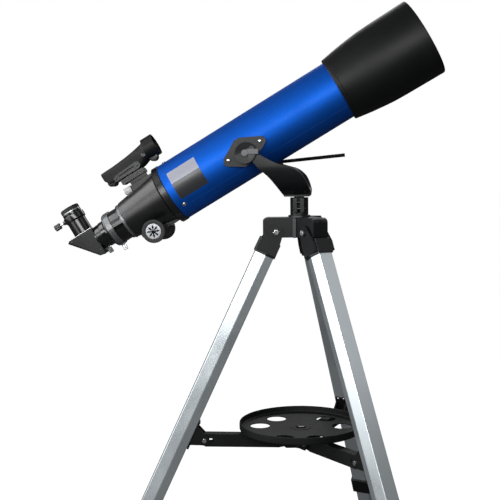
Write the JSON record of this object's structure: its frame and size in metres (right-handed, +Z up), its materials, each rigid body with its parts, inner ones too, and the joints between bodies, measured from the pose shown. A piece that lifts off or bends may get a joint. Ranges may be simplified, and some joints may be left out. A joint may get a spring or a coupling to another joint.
{
  "type": "refractor telescope on tripod",
  "caption": "Refractor telescope with a flared dew shield, star diagonal and reflex finder, on a yoke mount with a slow-motion rod and a folding aluminium tripod with a tray.",
  "frame": {"origin": "centre of the bounding box of the whole object, on the floor", "axes": "+Z up, the tube's upright plane is XZ with its front towards +X, +Y towards the slow-motion rod"},
  "size_m": [0.7196, 0.6634, 1.0667],
  "materials": {
    "accessory_tray": "satin",
    "adapter_screw": "satin anodised",
    "azimuth_post": "satin",
    "bracket_left": "satin paint on a casting",
    "bracket_right": "satin paint on a casting",
    "crown_lens": "polished",
    "dew_shield": "satin",
    "diagonal_barrel": "satin black",
    "diagonal_housing": "satin",
    "diagonal_prism": "polished",
    "drawtube": "satin black",
    "drawtube_bush": "satin anodised",
    "drawtube_collar": "satin anodised",
    "drawtube_screw": "bright plated",
    "eyepiece": "satin",
    "eyepiece_adapter": "satin",
    "eyepiece_lens": "polished",
    "eyepiece_screw": "satin",
    "finder_body": "satin",
    "finder_foot": "satin",
    "finder_window": "yellow-green coated",
    "flint_lens": "polished",
    "focus_knob_left": "satin",
    "focus_knob_right": "satin",
    "focuser_casting": "satin paint on a casting",
    "foot_1": "matt",
    "foot_2": "matt",
    "foot_3": "matt",
    "leg_bracket_1": "satin",
    "leg_bracket_2": "satin",
    "leg_bracket_3": "satin",
    "leg_cap_1": "satin",
    "leg_cap_2": "satin",
    "leg_cap_3": "satin",
    "leg_lock_1": "satin",
    "leg_lock_2": "satin",
    "leg_lock_3": "satin",
    "lower_leg_1": "satin extruded",
    "lower_leg_2": "satin extruded",
    "lower_leg_3": "satin extruded",
    "objective_cell": "satin",
    "optical_tube": "gloss metallic paint",
    "pinion_housing": "satin",
    "pinion_shaft": "turned",
    "pivot_bolt_left": "bright plated",
    "pivot_bolt_right": "bright plated",
    "rod_anchor": "satin",
    "rod_clamp": "satin",
    "shoe_screw": "bright plated",
    "slow_motion_rod": "satin",
    "spreader_arm_1": "satin",
    "spreader_arm_2": "satin",
    "spreader_arm_3": "satin",
    "spreader_hub": "satin",
    "tripod_head": "satin paint on a casting",
    "upper_leg_1": "satin extruded",
    "upper_leg_2": "satin extruded",
    "upper_leg_3": "satin extruded",
    "yoke": "satin paint on a casting"
  },
  "bodies": {
    "head": {"tripod_head": "tripod_head", "azimuth_post": "azimuth_post"},
    "yoke": {"yoke": "yoke", "pivot_bolt_left": "pivot_bolt_left", "pivot_bolt_right": "pivot_bolt_right"},
    "tube": {"optical_tube": "optical_tube", "dew_shield": "dew_shield", "objective_cell": "objective_cell", "flint_lens": "flint_lens", "crown_lens": "crown_lens", "focuser_casting": "focuser_casting", "drawtube_bush": "drawtube_bush", "pinion_housing": "pinion_housing", "finder_foot": "finder_foot", "finder_body": "finder_body", "finder_window": "finder_window", "bracket_left": "bracket_left", "bracket_right": "bracket_right", "rod_anchor": "rod_anchor"},
    "focus": {"drawtube": "drawtube", "drawtube_collar": "drawtube_collar", "eyepiece_adapter": "eyepiece_adapter"},
    "pinion": {"pinion_shaft": "pinion_shaft", "focus_knob_left": "focus_knob_left", "focus_knob_right": "focus_knob_right"},
    "diagonal": {"diagonal_housing": "diagonal_housing", "diagonal_prism": "diagonal_prism", "diagonal_barrel": "diagonal_barrel"},
    "eyepiece": {"eyepiece": "eyepiece", "eyepiece_lens": "eyepiece_lens"},
    "shoe_screw": {"shoe_screw": "shoe_screw"},
    "drawtube_screw": {"drawtube_screw": "drawtube_screw"},
    "adapter_screw": {"adapter_screw": "adapter_screw"},
    "eyepiece_screw": {"eyepiece_screw": "eyepiece_screw"},
    "rod": {"slow_motion_rod": "slow_motion_rod"},
    "rod_clamp": {"rod_clamp": "rod_clamp"},
    "spreader": {"spreader_hub": "spreader_hub", "accessory_tray": "accessory_tray"},
    "leg_1": {"leg_cap_1": "leg_cap_1", "upper_leg_1": "upper_leg_1", "leg_bracket_1": "leg_bracket_1"},
    "lower_leg_1": {"lower_leg_1": "lower_leg_1", "foot_1": "foot_1"},
    "leg_lock_1": {"leg_lock_1": "leg_lock_1"},
    "spreader_arm_1": {"spreader_arm_1": "spreader_arm_1"},
    "leg_2": {"leg_cap_2": "leg_cap_2", "upper_leg_2": "upper_leg_2", "leg_bracket_2": "leg_bracket_2"},
    "lower_leg_2": {"lower_leg_2": "lower_leg_2", "foot_2": "foot_2"},
    "leg_lock_2": {"leg_lock_2": "leg_lock_2"},
    "spreader_arm_2": {"spreader_arm_2": "spreader_arm_2"},
    "leg_3": {"leg_cap_3": "leg_cap_3", "upper_leg_3": "upper_leg_3", "leg_bracket_3": "leg_bracket_3"},
    "lower_leg_3": {"lower_leg_3": "lower_leg_3", "foot_3": "foot_3"},
    "leg_lock_3": {"leg_lock_3": "leg_lock_3"},
    "spreader_arm_3": {"spreader_arm_3": "spreader_arm_3"}
  },
  "joints": [
    {"name": "azimuth", "type": "hinge", "parent": "head", "child": "yoke", "pos_m": [0.10007, -0.02276, 0.675], "axis": [0, 0, 1], "continuous": true},
    {"name": "altitude", "type": "hinge", "parent": "yoke", "child": "tube", "pos_m": [0.01037, -0.02276, 0.80373], "axis": [0, -1, 0], "range_deg": [-30, 33]},
    {"name": "rod_pivot", "type": "hinge", "parent": "tube", "child": "rod", "pos_m": [-0.08916, -0.02276, 0.77553], "axis": [0, -1, 0], "range_deg": [-10, 9.5]},
    {"name": "rod_clamp_swivel", "type": "hinge", "parent": "yoke", "child": "rod_clamp", "pos_m": [0.05507, -0.02276, 0.78891], "axis": [0, -1, 0], "range_deg": [-22, 24]},
    {"name": "focus", "type": "slide", "parent": "tube", "child": "focus", "axis": [-0.8602, 0, -0.5099], "range_m": [-0.015, 0.075]},
    {"name": "focus_knob", "type": "hinge", "parent": "tube", "child": "pinion", "pos_m": [-0.1598, -0.02276, 0.66623], "axis": [0, -1, 0], "range_deg": [-82, 410]},
    {"name": "diagonal_turn", "type": "hinge", "parent": "focus", "child": "diagonal", "pos_m": [-0.27221, -0.02276, 0.65191], "axis": [0.8602, 0, 0.5099], "continuous": true},
    {"name": "eyepiece_slide", "type": "slide", "parent": "diagonal", "child": "eyepiece", "axis": [-0.5099, 0, 0.8602], "range_m": [0, 0.02]},
    {"name": "shoe_screw_turn", "type": "hinge", "parent": "tube", "child": "shoe_screw", "pos_m": [-0.20964, -0.02276, 0.74306], "axis": [-0.8602, 0, -0.5099], "range_deg": [0, 270]},
    {"name": "drawtube_screw_turn", "type": "hinge", "parent": "focus", "child": "drawtube_screw", "pos_m": [-0.22724, -0.02276, 0.63881], "axis": [0.5099, 0, -0.8602], "range_deg": [0, 270]},
    {"name": "adapter_screw_turn", "type": "hinge", "parent": "focus", "child": "adapter_screw", "pos_m": [-0.25483, -0.02276, 0.63338], "axis": [0.5099, 0, -0.8602], "range_deg": [0, 270]},
    {"name": "eyepiece_screw_turn", "type": "hinge", "parent": "diagonal", "child": "eyepiece_screw", "pos_m": [-0.34712, -0.02276, 0.67434], "axis": [-0.8602, 0, -0.5099], "range_deg": [0, 270]},
    {"name": "leg_1_fold", "type": "hinge", "parent": "head", "child": "leg_1", "pos_m": [0.05693, -0.0284, 0.6615], "axis": [0.1297, -0.9916, 0], "range_deg": [0, 6]},
    {"name": "leg_2_fold", "type": "hinge", "parent": "head", "child": "leg_2", "pos_m": [0.12652, -0.0573, 0.6615], "axis": [0.7939, 0.6081, 0], "range_deg": [0, 6]},
    {"name": "leg_3_fold", "type": "hinge", "parent": "head", "child": "leg_3", "pos_m": [0.11675, 0.01741, 0.6615], "axis": [-0.9235, 0.3835, 0], "range_deg": [0, 6]},
    {"name": "spreader_lift", "type": "slide", "parent": "head", "child": "spreader", "axis": [0, 0, 1], "range_m": [0, 0.0955]},
    {"name": "spreader_arm_1_turn", "type": "hinge", "parent": "spreader", "child": "spreader_arm_1", "pos_m": [0.0723, -0.02639, 0.2745], "axis": [0.1297, -0.9916, 0], "range_deg": [0, 45.2]},
    {"name": "leg_1_extension", "type": "slide", "parent": "leg_1", "child": "lower_leg_1", "axis": [-0.4201, -0.0549, -0.9058], "range_m": [0, 0.38]},
    {"name": "leg_1_lock_turn", "type": "hinge", "parent": "leg_1", "child": "leg_lock_1", "pos_m": [-0.21942, -0.06454, 0.11291], "axis": [-0.8981, -0.1174, 0.4237], "range_deg": [0, 270]},
    {"name": "spreader_arm_2_turn", "type": "hinge", "parent": "spreader", "child": "spreader_arm_2", "pos_m": [0.11709, -0.04499, 0.2745], "axis": [0.7939, 0.6081, 0], "range_deg": [0, 45.2]},
    {"name": "leg_2_extension", "type": "slide", "parent": "leg_2", "child": "lower_leg_2", "axis": [0.2577, -0.3364, -0.9058], "range_m": [0, 0.38]},
    {"name": "leg_2_lock_turn", "type": "hinge", "parent": "leg_2", "child": "leg_lock_2", "pos_m": [0.29599, -0.27856, 0.11291], "axis": [0.5508, -0.7191, 0.4237], "range_deg": [0, 270]},
    {"name": "spreader_arm_3_turn", "type": "hinge", "parent": "spreader", "child": "spreader_arm_3", "pos_m": [0.1108, 0.0031, 0.2745], "axis": [-0.9235, 0.3835, 0], "range_deg": [0, 45.2]},
    {"name": "leg_3_extension", "type": "slide", "parent": "leg_3", "child": "lower_leg_3", "axis": [0.1625, 0.3913, -0.9058], "range_m": [0, 0.38]},
    {"name": "leg_3_lock_turn", "type": "hinge", "parent": "leg_3", "child": "leg_lock_3", "pos_m": [0.22363, 0.27481, 0.11291], "axis": [0.3474, 0.8365, 0.4237], "range_deg": [0, 270]}
  ],
  "couplings": [
    {"joint": "rod_pivot", "follows": "altitude", "ratio": -0.2925},
    {"joint": "rod_clamp_swivel", "follows": "altitude", "ratio": 0.7075},
    {"joint": "focus_knob", "follows": "focus", "rad_per_m": 95.238},
    {"joint": "leg_2_fold", "follows": "leg_1_fold", "ratio": 1},
    {"joint": "leg_3_fold", "follows": "leg_1_fold", "ratio": 1},
    {"joint": "spreader_lift", "follows": "leg_1_fold", "m_per_rad": 0.91},
    {"joint": "spreader_arm_1_turn", "follows": "leg_1_fold", "ratio": 7.5},
    {"joint": "spreader_arm_2_turn", "follows": "leg_1_fold", "ratio": 7.5},
    {"joint": "spreader_arm_3_turn", "follows": "leg_1_fold", "ratio": 7.5}
  ]
}
